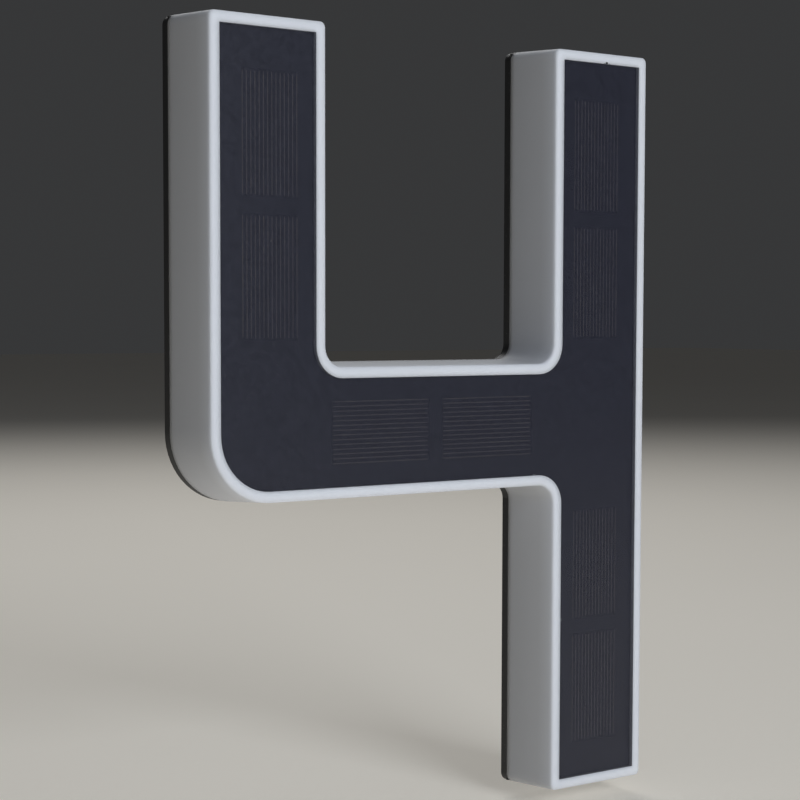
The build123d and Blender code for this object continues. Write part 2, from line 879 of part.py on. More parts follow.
def lead(*points):
    """An insulated wire: straight runs joined by arcs as large as the runs allow."""
    runs = [Vector(*b) - Vector(*a) for a, b in zip(points, points[1:])]
    radii = []
    for before, after in zip(runs, runs[1:]):
        turn = radians(before.get_angle(after))
        radii.append(0.45 * min(before.length, after.length) / tan(turn / 2))
    path = FilletPolyline(*points, radius=radii)
    across = runs[0].cross(Vector(0, 0, 1))
    cuts = []
    for point, way in stations(path):
        across = (across - way * across.dot(way)).normalized()
        cut = Plane(origin=point, x_dir=across, z_dir=way)
        cuts.append(cut * RegularPolygon(lead_radius, wire_sides))
    wire = loft(cuts, ruled=True)
    length = sum(edge.length for edge in path.edges())
    share = wire.volume / (cuts[0].area * length)
    lead_notes.append((length, min(radii), share))
    return wire


def solar_leads(pole):
    """One pole's wires from module to module and on to the control board."""
    aside = pole * lead_pair / 2
    arm_x_here, arm_y, _, _ = solar_modules["left_arm"]
    bar_x, bar_y, _, _ = solar_modules["crossbar"]
    upper_x, upper_y, _, _ = solar_modules["upper_stem"]
    lower_x, lower_y, _, _ = solar_modules["lower_stem"]
    high = solar_lead_z
    low = control_lead_z
    arm_lead = lead(
        (arm_x_here + aside, arm_y - tail_reach, high),
        (arm_x_here + aside, bar_y + aside, high),
        (bar_x - tail_reach, bar_y + aside, high),
    )
    bar_end = bar_x + tail_reach
    bar_lead = lead(
        (bar_end - 1, bar_y + aside, high),
        (control_left - lead_free, bar_y + aside, high),
        (control_left - 1, bar_y + aside, low),
        (control_left + lead_landing, bar_y + aside, low),
    )
    upper_lead_x = upper_x - lead_landing + aside
    upper_lead = lead(
        (upper_lead_x, upper_y - tail_reach + 1, high),
        (upper_lead_x, upper_y - tail_reach - lead_free, high),
        (upper_lead_x, control_top - 2 * lead_landing, low),
        (upper_lead_x, control_top - 3 * lead_landing, low),
    )
    lower_lead_x = lower_x - 5 + aside
    lower_end = lower_y + tail_reach
    lower_lead = lead(
        (lower_lead_x, lower_end - 1, high),
        (lower_lead_x, control_bottom - lead_landing + 1, high),
        (lower_lead_x, control_bottom, low),
        (lower_lead_x, control_bottom + lead_landing, low),
    )
    return [arm_lead, bar_lead, upper_lead, lower_lead]


def led_leads(pole):
    """One pole's wires from the control board to the flat LED boards and the side strips."""
    aside = pole * lead_pair / 2
    low = led_lead_z
    high = control_lead_z
    arm_lead = lead(
        (arm_x + aside, arm_led_low + 2.5, low),
        (arm_x + aside, aside, low),
        (crossbar_led_left + 2.5, aside, low),
    )
    bar_y = pole * (led_board_width / 2 - 1.5)
    bar_lead = lead(
        (crossbar_led_right - 2.5, bar_y, low),
        (crossbar_led_right + 1.5, bar_y, low),
        (control_left - 1.5, bar_y * 1.2, high),
        (control_left + lead_landing, bar_y * 1.2, high),
    )
    upper_x = stem_x + lead_pair / 2 + aside
    upper_lead = lead(
        (upper_x, stem_led_low + 2.5, low),
        (upper_x, stem_led_low - 1.5, low),
        (upper_x, control_top + 1.5, high),
        (upper_x, control_top - lead_landing, high),
    )
    strip_x = bay_half_width + bay_wall + led_board_thickness + lead_radius + lead_gap
    strip_end = strip_y + strip_length / 2
    depth = strip_depth_centre + aside
    left_x = stem_x - strip_x
    left_y = control_bottom + aside
    left_strip = lead(
        (left_x, strip_end - 4, depth),
        (left_x, left_y - 6, depth),
        (control_left + lead_landing / 2 + pole, left_y - 1, high),
        (control_left + lead_landing / 2 + pole, left_y + lead_landing + 1, high),
    )
    right_x = stem_x + strip_x
    right_y = control_bottom + 3 * lead_pair + aside
    right_strip = lead(
        (right_x, strip_end - 4, depth),
        (right_x, right_y - 2 * lead_pair, depth),
        (control_right + 2, right_y, high),
        (control_right - lead_landing, right_y, high),
    )
    return [arm_lead, bar_lead, upper_lead, left_strip, right_strip]


def battery_lead_positive():
    """From the upper contact's tail straight up to the control board."""
    tail_y = bay_top + bay_wall + tail_length / 2
    return lead(
        (stem_x, tail_y - 0.8, tail_lead_z),
        (stem_x, control_bottom - lead_landing + 0.5, tail_lead_z),
        (stem_x, control_bottom, control_lead_z),
        (stem_x, control_bottom + lead_landing, control_lead_z),
    )


def battery_lead_negative():
    """From the lower contact's tail round the bay and up its right flank."""
    tail_y = bay_bottom - bay_wall - tail_length / 2
    flank_x = stem_x + bay_half_width + bay_wall + 3 * lead_radius
    flank_z = well_top + 2.5 * lead_radius
    return lead(
        (stem_x, tail_y, tail_lead_z),
        (stem_x + 5.0, tail_y - 1.5, tail_lead_z),
        (flank_x + lead_radius, tail_y - 1.5, tail_lead_z - 3.2),
        (flank_x, tail_y + 8.0, flank_z),
        (flank_x, control_bottom - 7.0, flank_z),
        (control_right + 2.0, control_bottom + lead_pair, control_lead_z),
        (control_right - lead_landing, control_bottom + lead_pair + 0.5, control_lead_z),
    )


# ---------------------------------------------------------------- write the sub-parts

save(diffuser_body(), "diffuser_body")
save(front_panel(), "front_panel")
save(panel_tape(), "panel_tape")
for place, (x, y, upright, tail_ends) in solar_modules.items():
    save(solar_board(x, y, upright, tail_ends), f"solar_board_{place}")
    save(solar_cells(x, y, upright), f"solar_cells_{place}")

save(back_cover(), "back_cover")
save(cover_seal(), "cover_seal")
save(group(*[cover_screw(x, y) for x, y, heading in cover_screw_places]), "cover_screws")

save(battery(), "battery")
save(battery_contact_positive(), "battery_contact_positive")
save(battery_contact_negative(), "battery_contact_negative")
save(battery_spring(), "battery_spring")
save(battery_door(), "battery_door")
save(battery_door_seal(), "battery_door_seal")
save(group(*[battery_door_screw(y) for y in door_screw_ys]), "battery_door_screws")

save(control_board(), "control_board")
save(group(*[board_screw(x, y) for x, y in board_screw_places]), "control_board_screws")
save(control_chip(), "control_chip")
save(boost_inductor(), "boost_inductor")
save(smoothing_capacitor(), "smoothing_capacitor")
save(switch_body(), "switch_body")
save(switch_knob(), "switch_knob")

lamps = strip_leds()
for place, (x, y, length, upright) in led_boards.items():
    save(led_board(x, y, length, upright), f"led_board_{place}")
    lamps += board_leds(x, y, length, upright)
save(group(*side_strips()), "led_boards_lower_stem")
save(group(*lamps), "leds")

save(group(*solar_leads(1)), "solar_leads_positive")
save(group(*solar_leads(-1)), "solar_leads_negative")
save(group(*led_leads(1)), "led_leads_positive")
save(group(*led_leads(-1)), "led_leads_negative")
save(battery_lead_positive(), "battery_lead_positive")
save(battery_lead_negative(), "battery_lead_negative")

print(f"overall {digit_width:.1f} wide, {overall_depth:.2f} deep, {digit_height:.1f} tall")
print(f"spring: least gap between turns {spring_self_gap():.2f} mm")
for length, least_radius, share in lead_notes:
    print(f"lead: {length:.1f} long, least bend {least_radius:.1f}, volume share {share:.3f}")
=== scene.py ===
# %% [markdown]
# # A solar house number, the digit 4
#
# This lesson dresses a wall sign that was drawn in CAD. The CAD model gives every rigid
# piece its true shape and place. Blender adds what the CAD leaves out: the printed lines
# on the solar cells, the battery's sleeve, the threads, and how each surface takes light.
# Lengths are metres. X runs to the right, Z up, and the front of the sign faces -Y.

# %% Load the CAD model as a fixed frame
from math import atan2, cos, pi, radians, sin, sqrt

import bmesh
import bpy
from mathutils import Matrix, Vector


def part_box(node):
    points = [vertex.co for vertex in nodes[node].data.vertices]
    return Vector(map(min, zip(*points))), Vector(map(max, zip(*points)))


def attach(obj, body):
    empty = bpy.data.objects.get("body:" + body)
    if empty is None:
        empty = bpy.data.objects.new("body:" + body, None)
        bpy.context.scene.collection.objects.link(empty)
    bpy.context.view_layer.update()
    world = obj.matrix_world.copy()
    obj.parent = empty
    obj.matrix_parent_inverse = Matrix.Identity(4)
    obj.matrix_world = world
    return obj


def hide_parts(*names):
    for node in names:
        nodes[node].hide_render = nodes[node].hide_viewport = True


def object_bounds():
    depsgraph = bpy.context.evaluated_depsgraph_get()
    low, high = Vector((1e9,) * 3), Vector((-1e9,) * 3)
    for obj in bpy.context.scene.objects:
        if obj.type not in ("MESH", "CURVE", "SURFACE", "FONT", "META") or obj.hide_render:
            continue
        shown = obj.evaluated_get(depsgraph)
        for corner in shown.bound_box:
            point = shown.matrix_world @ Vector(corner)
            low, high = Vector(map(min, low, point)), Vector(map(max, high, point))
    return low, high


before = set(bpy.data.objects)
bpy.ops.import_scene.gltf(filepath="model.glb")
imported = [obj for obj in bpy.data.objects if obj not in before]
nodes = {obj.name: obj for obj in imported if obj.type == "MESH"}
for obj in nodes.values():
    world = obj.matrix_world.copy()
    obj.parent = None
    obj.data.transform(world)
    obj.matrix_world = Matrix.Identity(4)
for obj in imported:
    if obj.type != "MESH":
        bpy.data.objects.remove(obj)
cad_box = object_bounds()
mm = 0.001

# %% [markdown]
# ## Effects that several materials share
#
# A moulded skin, the pale wear of a corner and a film of dust appear on many pieces, so
# each is a node group: a small graph with named inputs that any material can reuse. A
# group only puts out a colour, a mask or a height. The shader itself stays in the
# material, where its own plain values can be read by other programs.


# %% A helper that starts a node group
def start_group(name, inputs, outputs):
    """A new shader node group with its sockets, and its input and output nodes."""
    group = bpy.data.node_groups.new(name, "ShaderNodeTree")
    for label, kind, value in inputs:
        socket = group.interface.new_socket(name=label, in_out="INPUT", socket_type=kind)
        if value is not None:
            socket.default_value = value
    for label, kind in outputs:
        group.interface.new_socket(name=label, in_out="OUTPUT", socket_type=kind)
    start = group.nodes.new("NodeGroupInput")
    end = group.nodes.new("NodeGroupOutput")
    return group, start, end


def add_node(tree, kind, **settings):
    """A node in a tree with some of its own settings and socket values."""
    node = tree.nodes.new(kind)
    for key, value in settings.items():
        if hasattr(node, key):
            setattr(node, key, value)
        else:
            node.inputs[key.replace("_", " ")].default_value = value
    return node


# %% [markdown]
# The grain of a spark-eroded mould is two sizes of soft noise, one on the other. The
# height goes to a Bump node, and the same noise moves the colour and the gloss a little,
# because real plastic is never one flat tone.

# %% Moulded grain
grain_group, grain_in, grain_out = start_group(
    "moulded grain",
    [("Vector", "NodeSocketVector", None), ("Fine", "NodeSocketFloat", 2500.0),
     ("Broad", "NodeSocketFloat", 40.0)],
    [("Height", "NodeSocketFloat"), ("Mottle", "NodeSocketFloat")])


def build_grain(group, start, end):
    """Fine grain for the bump, broad mottling for the tone."""
    fine = add_node(group, "ShaderNodeTexNoise", noise_dimensions="3D", Detail=2.0, Roughness=0.6)
    broad = add_node(group, "ShaderNodeTexNoise", noise_dimensions="3D", Detail=3.0, Roughness=0.55)
    group.links.new(start.outputs["Vector"], fine.inputs["Vector"])
    group.links.new(start.outputs["Fine"], fine.inputs["Scale"])
    group.links.new(start.outputs["Vector"], broad.inputs["Vector"])
    group.links.new(start.outputs["Broad"], broad.inputs["Scale"])
    group.links.new(fine.outputs["Fac"], end.inputs["Height"])
    group.links.new(broad.outputs["Fac"], end.inputs["Mottle"])


build_grain(grain_group, grain_in, grain_out)

# %% [markdown]
# Corners rub pale and smooth first. The Bevel node looks a short way round each point
# and rounds the normal there, so where the rounded normal leaves the true one there is
# an edge. A noise breaks the mask up, so that the wear isn't a drawn line.

# %% Edge wear
wear_group, wear_in, wear_out = start_group(
    "edge wear",
    [("Vector", "NodeSocketVector", None), ("Reach", "NodeSocketFloat", 0.0006),
     ("Patches", "NodeSocketFloat", 180.0)],
    [("Mask", "NodeSocketFloat")])


def build_wear(group, start, end):
    """A broken mask that is 1 on worn edges and 0 elsewhere."""
    rounded = add_node(group, "ShaderNodeBevel", samples=4)
    true = add_node(group, "ShaderNodeNewGeometry")
    dot = add_node(group, "ShaderNodeVectorMath", operation="DOT_PRODUCT")
    edge = add_node(group, "ShaderNodeMapRange", clamp=True)
    edge.inputs["From Min"].default_value = 0.995
    edge.inputs["From Max"].default_value = 0.80
    patches = add_node(group, "ShaderNodeTexNoise", Detail=3.0, Roughness=0.6)
    broken = add_node(group, "ShaderNodeMapRange", clamp=True)
    broken.inputs["From Min"].default_value = 0.45
    broken.inputs["From Max"].default_value = 0.65
    both = add_node(group, "ShaderNodeMath", operation="MULTIPLY")
    group.links.new(start.outputs["Reach"], rounded.inputs["Radius"])
    group.links.new(rounded.outputs["Normal"], dot.inputs[0])
    group.links.new(true.outputs["Normal"], dot.inputs[1])
    group.links.new(dot.outputs["Value"], edge.inputs["Value"])
    group.links.new(start.outputs["Vector"], patches.inputs["Vector"])
    group.links.new(start.outputs["Patches"], patches.inputs["Scale"])
    group.links.new(patches.outputs["Fac"], broken.inputs["Value"])
    group.links.new(edge.outputs["Result"], both.inputs[0])
    group.links.new(broken.outputs["Result"], both.inputs[1])
    group.links.new(both.outputs["Value"], end.inputs["Mask"])


build_wear(wear_group, wear_in, wear_out)

# %% [markdown]
# Dust is a scatter of tiny specks. A Voronoi pattern gives each cell its own centre, a
# small threshold keeps only a speck at the centre, and a noise keeps only some cells.

# %% Specks
speck_group, speck_in, speck_out = start_group(
    "specks",
    [("Vector", "NodeSocketVector", None), ("Count", "NodeSocketFloat", 700.0),
     ("Size", "NodeSocketFloat", 0.16)],
    [("Mask", "NodeSocketFloat")])


def build_specks(group, start, end):
    """A mask of small bright dots, a few to each square centimetre."""
    cells = add_node(group, "ShaderNodeTexVoronoi", feature="F1")
    dot = add_node(group, "ShaderNodeMath", operation="LESS_THAN")
    pick = add_node(group, "ShaderNodeSeparateColor")
    some = add_node(group, "ShaderNodeMath", operation="GREATER_THAN")
    some.inputs[1].default_value = 0.55
    both = add_node(group, "ShaderNodeMath", operation="MULTIPLY")
    group.links.new(start.outputs["Vector"], cells.inputs["Vector"])
    group.links.new(start.outputs["Count"], cells.inputs["Scale"])
    group.links.new(cells.outputs["Distance"], dot.inputs[0])
    group.links.new(start.outputs["Size"], dot.inputs[1])
    group.links.new(cells.outputs["Color"], pick.inputs["Color"])
    group.links.new(pick.outputs["Red"], some.inputs[0])
    group.links.new(dot.outputs["Value"], both.inputs[0])
    group.links.new(some.outputs["Value"], both.inputs[1])
    group.links.new(both.outputs["Value"], end.inputs["Mask"])


build_specks(speck_group, speck_in, speck_out)

# %% [markdown]
# ## Materials
#
# Most finishes here are one family: a base colour that drifts a little, a fine grain
# and worn or dusty places. One function builds such a material from a few numbers, and
# the special ones, such as the opal skirt, then change sockets of their own.


# %% The common material
def finish_material(name, colour, drift=0.06, roughness=0.5, gloss_drift=0.06, fine=2500.0,
                    broad=40.0, bump=0.00002, wear=None, wear_reach=0.0005, speck=None,
                    speck_size=0.12, metallic=0.0):
    """A Principled material with grain, slow drift, edge wear and specks."""
    made = bpy.data.materials.new(name)
    made.use_nodes = True
    tree = made.node_tree
    shader = tree.nodes["Principled BSDF"]
    shader.inputs["Metallic"].default_value = metallic
    place = add_node(tree, "ShaderNodeTexCoord")
    grain = add_node(tree, "ShaderNodeGroup", node_tree=grain_group)
    grain.inputs["Fine"].default_value = fine
    grain.inputs["Broad"].default_value = broad
    tree.links.new(place.outputs["Object"], grain.inputs["Vector"])
    tone = add_node(tree, "ShaderNodeMapRange")
    tone.inputs["To Min"].default_value = 1.0 - drift
    tone.inputs["To Max"].default_value = 1.0 + drift
    tree.links.new(grain.outputs["Mottle"], tone.inputs["Value"])
    base = add_node(tree, "ShaderNodeMix", data_type="RGBA", blend_type="MULTIPLY")
    base.inputs["Factor"].default_value = 1.0
    base.inputs["A"].default_value = (*colour, 1.0)
    tree.links.new(tone.outputs["Result"], base.inputs["B"])
    last = base.outputs["Result"]
    if wear is not None:
        worn = add_node(tree, "ShaderNodeGroup", node_tree=wear_group)
        worn.inputs["Reach"].default_value = wear_reach
        tree.links.new(place.outputs["Object"], worn.inputs["Vector"])
        last = lay_over(tree, last, wear, worn.outputs["Mask"])
    if speck is not None:
        dots = add_node(tree, "ShaderNodeGroup", node_tree=speck_group)
        dots.inputs["Size"].default_value = speck_size
        tree.links.new(place.outputs["Object"], dots.inputs["Vector"])
        last = lay_over(tree, last, speck, dots.outputs["Mask"])
    tree.links.new(last, shader.inputs["Base Color"])
    gloss = add_node(tree, "ShaderNodeMapRange")
    gloss.inputs["To Min"].default_value = roughness - gloss_drift
    gloss.inputs["To Max"].default_value = roughness + gloss_drift
    tree.links.new(grain.outputs["Mottle"], gloss.inputs["Value"])
    tree.links.new(gloss.outputs["Result"], shader.inputs["Roughness"])
    relief = add_node(tree, "ShaderNodeBump")
    relief.inputs["Distance"].default_value = bump
    tree.links.new(grain.outputs["Height"], relief.inputs["Height"])
    tree.links.new(relief.outputs["Normal"], shader.inputs["Normal"])
    return made


def lay_over(tree, under, colour, mask):
    """Mixes a colour over what is there, by a mask, and gives the result's socket."""
    mix = add_node(tree, "ShaderNodeMix", data_type="RGBA")
    mix.inputs["B"].default_value = (*colour, 1.0)
    tree.links.new(under, mix.inputs["A"])
    tree.links.new(mask, mix.inputs["Factor"])
    return mix.outputs["Result"]


def dress(name, material):
    """Gives a CAD node one material in every slot."""
    mesh = nodes[name].data
    mesh.materials.clear()
    mesh.materials.append(material)


# %% [markdown]
# ### Opal skirt
#
# The skirt is milky acrylic that the LEDs light from inside. By day, light sinks in at the
# front rim and spreads a few millimetres before it leaves, so the wall glows beside the
# front edge. Subsurface scattering does part of that. The rest is painted light and shade in
# the base colour: palest at the thick front rim, which gives the light back, and falling off
# towards the back, where the thin wall stands over a dark hollow and loses some. The Bevel
# node softens the moulded edge, whose radius is too small to be worth many faces.

# %% Opal plastic
opal = finish_material("opal plastic", (0.80, 0.82, 0.875), drift=0.015, roughness=0.50,
                       gloss_drift=0.04, fine=1800.0, broad=25.0, bump=0.000006)
opal_tree = opal.node_tree
opal_shader = opal_tree.nodes["Principled BSDF"]
opal_shader.inputs["Subsurface Weight"].default_value = 0.4
opal_shader.inputs["Subsurface Radius"].default_value = (1.0, 1.0, 1.0)
opal_shader.inputs["Subsurface Scale"].default_value = 0.005
soft_edge = add_node(opal_tree, "ShaderNodeBevel", samples=6)
soft_edge.inputs["Radius"].default_value = 0.0022
opal_tree.links.new(soft_edge.outputs["Normal"], opal_tree.nodes["Bump"].inputs["Normal"])


# %% Painted light and shade on the wall, from front to back
def painted_depth_shading(tree, shader, front, back, stops):
    """Paints light and shade: multiplies the base colour by a grey that depends on the depth from the front.
    """
    parts = add_node(tree, "ShaderNodeSeparateXYZ")
    share = add_node(tree, "ShaderNodeMapRange")
    share.inputs["From Min"].default_value = front
    share.inputs["From Max"].default_value = back
    painted_shades = add_node(tree, "ShaderNodeValToRGB")
    while len(painted_shades.color_ramp.elements) < len(stops):
        painted_shades.color_ramp.elements.new(0.5)
    for element, (place, tone) in zip(painted_shades.color_ramp.elements, stops):
        element.position = place
        element.color = (*tone, 1.0)
    mix = add_node(tree, "ShaderNodeMix", data_type="RGBA", blend_type="MULTIPLY")
    mix.inputs["Factor"].default_value = 1.0
    tree.links.new(tree.nodes["Texture Coordinate"].outputs["Object"], parts.inputs["Vector"])
    tree.links.new(parts.outputs["Y"], share.inputs["Value"])
    tree.links.new(share.outputs["Result"], painted_shades.inputs["Fac"])
    tree.links.new(shader.inputs["Base Color"].links[0].from_socket, mix.inputs["A"])
    tree.links.new(painted_shades.outputs["Color"], mix.inputs["B"])
    tree.links.new(mix.outputs["Result"], shader.inputs["Base Color"])


skirt_low, skirt_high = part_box("diffuser_body")
# Painted light and shade: full tone at the front rim, greyer towards the back, down to about two thirds.
painted_depth_shading(opal_tree, opal_shader, skirt_low[1], skirt_high[1],
           [(0.0, (1.0, 1.0, 1.0)), (0.03, (0.90, 0.90, 0.90)), (0.15, (0.85, 0.85, 0.845)),
            (0.32, (0.76, 0.755, 0.745)), (1.0, (0.64, 0.635, 0.625))])
dress("diffuser_body", opal)

# %% [markdown]
# ### Smoked window
#
# The window is a dark tinted sheet: at a glance black, but the solar cells behind it can
# just be made out. The sheet is a real slab with two faces, and each lets half of the
# light through, so what lies behind is lit through a quarter and seen through a quarter.
#
# Everything but the cells is hidden by a dark print on the sheet's back. It could be a
# thin piece of its own, but a print has no thickness that shows, so it is a mask in the
# material: solid where a point is on the back face and outside the eight cell panes.

# %% A mask that is 1 inside a box
pane_group, pane_in, pane_out = start_group(
    "pane mask",
    [("Vector", "NodeSocketVector", None), ("Middle", "NodeSocketVector", (0, 0, 0)),
     ("Half", "NodeSocketVector", (0.01, 0.01, 0.01))],
    [("Mask", "NodeSocketFloat")])


def build_pane(group, start, end):
    """Compares how far a point lies from the middle with half the pane's size."""
    away = add_node(group, "ShaderNodeVectorMath", operation="SUBTRACT")
    size = add_node(group, "ShaderNodeVectorMath", operation="ABSOLUTE")
    beyond = add_node(group, "ShaderNodeVectorMath", operation="SUBTRACT")
    parts = add_node(group, "ShaderNodeSeparateXYZ")
    most = add_node(group, "ShaderNodeMath", operation="MAXIMUM")
    inside = add_node(group, "ShaderNodeMath", operation="LESS_THAN")
    inside.inputs[1].default_value = 0.0
    group.links.new(start.outputs["Vector"], away.inputs[0])
    group.links.new(start.outputs["Middle"], away.inputs[1])
    group.links.new(away.outputs["Vector"], size.inputs[0])
    group.links.new(size.outputs["Vector"], beyond.inputs[0])
    group.links.new(start.outputs["Half"], beyond.inputs[1])
    group.links.new(beyond.outputs["Vector"], parts.inputs["Vector"])
    group.links.new(parts.outputs["X"], most.inputs[0])
    group.links.new(parts.outputs["Z"], most.inputs[1])
    group.links.new(most.outputs["Value"], inside.inputs[0])
    group.links.new(inside.outputs["Value"], end.inputs["Mask"])


build_pane(pane_group, pane_in, pane_out)

# %% Where the eight cells are
strokes = ("left_arm", "crossbar", "upper_stem", "lower_stem")
cells_per_module = 2
cell_gap = 3.9 * mm


def cell_boxes(stroke):
    """The corners of a module's two cells, the axis along them and the axis across."""
    low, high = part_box(f"solar_cells_{stroke}")
    along = 0 if high[0] - low[0] > high[2] - low[2] else 2
    length = (high[along] - low[along] - cell_gap) / cells_per_module
    boxes = []
    for cell in range(cells_per_module):
        cell_low, cell_high = list(low), list(high)
        cell_low[along] = low[along] + cell * (length + cell_gap)
        cell_high[along] = cell_low[along] + length
        boxes.append((Vector(cell_low), Vector(cell_high)))
    return boxes, along, 2 - along


print("cell:", [round(v / mm, 2) for v in cell_boxes("crossbar")[0][0][1] - cell_boxes("crossbar")[0][0][0]])

# %% Smoked sheet
smoked = finish_material("smoked window", (0.037, 0.038, 0.056), drift=0.45, roughness=0.30,
                         gloss_drift=0.06, fine=3000.0, broad=700.0, bump=0.000006,
                         speck=(0.075, 0.075, 0.09), speck_size=0.16)
smoked_tree = smoked.node_tree
smoked_shader = smoked_tree.nodes["Principled BSDF"]


def window_print(tree, shader):
    """Hides all but the cells: a solid dark print on the sheet's back face."""
    window_low, window_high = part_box("front_panel")
    place = tree.nodes["Texture Coordinate"].outputs["Object"]
    panes = None
    for stroke in strokes:
        for low, high in cell_boxes(stroke)[0]:
            pane = add_node(tree, "ShaderNodeGroup", node_tree=pane_group)
            pane.inputs["Middle"].default_value = (low + high) / 2
            pane.inputs["Half"].default_value = (high - low) / 2
            tree.links.new(place, pane.inputs["Vector"])
            if panes is None:
                panes = pane.outputs["Mask"]
                continue
            either = add_node(tree, "ShaderNodeMath", operation="MAXIMUM")
            tree.links.new(panes, either.inputs[0])
            tree.links.new(pane.outputs["Mask"], either.inputs[1])
            panes = either.outputs["Value"]
    parts = add_node(tree, "ShaderNodeSeparateXYZ")
    behind = add_node(tree, "ShaderNodeMath", operation="GREATER_THAN")
    behind.inputs[1].default_value = (window_low[1] + 3 * window_high[1]) / 4
    printed = add_node(tree, "ShaderNodeMath", operation="SUBTRACT", use_clamp=True)
    alpha = add_node(tree, "ShaderNodeMapRange")
    alpha.inputs["To Min"].default_value = 0.5
    alpha.inputs["To Max"].default_value = 1.0
    tree.links.new(place, parts.inputs["Vector"])
    tree.links.new(parts.outputs["Y"], behind.inputs[0])
    tree.links.new(behind.outputs["Value"], printed.inputs[0])
    tree.links.new(panes, printed.inputs[1])
    tree.links.new(printed.outputs["Value"], alpha.inputs["Value"])
    tree.links.new(alpha.outputs["Result"], shader.inputs["Alpha"])
    colour = shader.inputs["Base Color"].links[0].from_socket
    tree.links.new(lay_over(tree, colour, (0.022, 0.024, 0.036), printed.outputs["Value"]),
                   shader.inputs["Base Color"])


window_print(smoked_tree, smoked_shader)
dress("front_panel", smoked)

# %% [markdown]
# A few marks make the pair of mouldings real: three dark spots on the rim above the stem,
# two burrs of white at the window's edge and a grain of dust on the arm. Each is a ball in
# space that colours whatever surface passes through it, so its place is given once in metres.

# %% A mask that is 1 inside a small uneven ball
spot_group, spot_in, spot_out = start_group(
    "spot mask",
    [("Vector", "NodeSocketVector", None), ("Middle", "NodeSocketVector", (0, 0, 0)),
     ("Radius", "NodeSocketFloat", 0.0003)],
    [("Mask", "NodeSocketFloat")])


def build_spot(group, start, end):
    """The distance from the middle, bent a little by noise, against the radius."""
    away = add_node(group, "ShaderNodeVectorMath", operation="DISTANCE")
    ragged = add_node(group, "ShaderNodeTexNoise", Scale=4000.0, Detail=1.0)
    bend = add_node(group, "ShaderNodeMath", operation="MULTIPLY_ADD")
    bend.inputs[1].default_value = 0.0003
    inside = add_node(group, "ShaderNodeMath", operation="LESS_THAN")
    group.links.new(start.outputs["Vector"], away.inputs[0])
    group.links.new(start.outputs["Middle"], away.inputs[1])
    group.links.new(start.outputs["Vector"], ragged.inputs["Vector"])
    group.links.new(ragged.outputs["Fac"], bend.inputs[0])
    group.links.new(away.outputs["Value"], bend.inputs[2])
    group.links.new(bend.outputs["Value"], inside.inputs[0])
    group.links.new(start.outputs["Radius"], inside.inputs[1])
    group.links.new(inside.outputs["Value"], end.inputs["Mask"])


build_spot(spot_group, spot_in, spot_out)

# %% Dark spots, burrs and dust
front = skirt_low[1]


def add_spot(material, colour, x, z, radius):
    """One mark on the front of the sign, at a place in millimetres."""
    tree = material.node_tree
    shader = tree.nodes["Principled BSDF"]
    spot = add_node(tree, "ShaderNodeGroup", node_tree=spot_group)
    spot.inputs["Middle"].default_value = (x * mm, front, z * mm)
    spot.inputs["Radius"].default_value = radius * mm
    tree.links.new(tree.nodes["Texture Coordinate"].outputs["Object"], spot.inputs["Vector"])
    under = shader.inputs["Base Color"].links[0].from_socket
    tree.links.new(lay_over(tree, under, colour, spot.outputs["Mask"]), shader.inputs["Base Color"])


add_spot(opal, (0.03, 0.035, 0.04), 54.2, 96.4, 0.62)
add_spot(opal, (0.06, 0.07, 0.08), 55.1, 96.1, 0.50)
add_spot(opal, (0.10, 0.11, 0.12), 53.3, 96.2, 0.42)
add_spot(smoked, (0.55, 0.56, 0.60), 29.6, -13.2, 0.36)
add_spot(smoked, (0.55, 0.56, 0.60), 39.4, -52.8, 0.40)
add_spot(smoked, (0.30, 0.30, 0.30), -52.2, 46.3, 0.28)

# %% [markdown]
# ### The other finishes
#
# Each is named for what it is on the sign. The values come from how such a surface looks
# in the hand: black moulded plastic is dark grey with a soft sheen, rubber is duller,
# zinc plate is a little blue, nickel a little yellow.

# %% Plastics and rubber
black_plastic = finish_material("black moulded plastic", (0.012, 0.012, 0.013), drift=0.12,
                                roughness=0.50, fine=1500.0, bump=0.00003,
                                wear=(0.05, 0.05, 0.055), speck=(0.07, 0.07, 0.068))
seal_rubber = finish_material("seal rubber", (0.022, 0.022, 0.022), drift=0.15, roughness=0.75,
                              fine=2200.0, bump=0.00003)
black_tape = finish_material("black foam tape", (0.018, 0.018, 0.018), drift=0.2, roughness=0.9,
                             fine=3500.0, bump=0.00005)
component = finish_material("component package", (0.025, 0.025, 0.026), drift=0.1, roughness=0.6,
                            fine=4000.0, bump=0.00002, wear=(0.06, 0.06, 0.06))
lead_red = finish_material("red insulation", (0.52, 0.030, 0.024), drift=0.05, roughness=0.38)
lead_black = finish_material("black insulation", (0.02, 0.02, 0.02), drift=0.1, roughness=0.38)
led_package = finish_material("LED package", (0.86, 0.85, 0.80), drift=0.04, roughness=0.3)

# %% Metals
zinc_steel = finish_material("zinc-plated steel", (0.60, 0.61, 0.64), drift=0.08, roughness=0.34,
                             fine=3000.0, broad=600.0, bump=0.00001, metallic=1.0,
                             wear=(0.85, 0.86, 0.88), wear_reach=0.0003)
nickel = finish_material("nickel-plated steel", (0.70, 0.68, 0.62), drift=0.06, roughness=0.28,
                         fine=2500.0, broad=500.0, bump=0.00001, metallic=1.0)
bare_can = finish_material("aluminium can", (0.78, 0.78, 0.79), drift=0.04, roughness=0.3,
                           fine=2500.0, broad=500.0, bump=0.00001, metallic=1.0)
ferrite = finish_material("ferrite", (0.07, 0.065, 0.06), drift=0.2, roughness=0.7,
                          fine=3000.0, bump=0.00004, wear=(0.15, 0.14, 0.13))

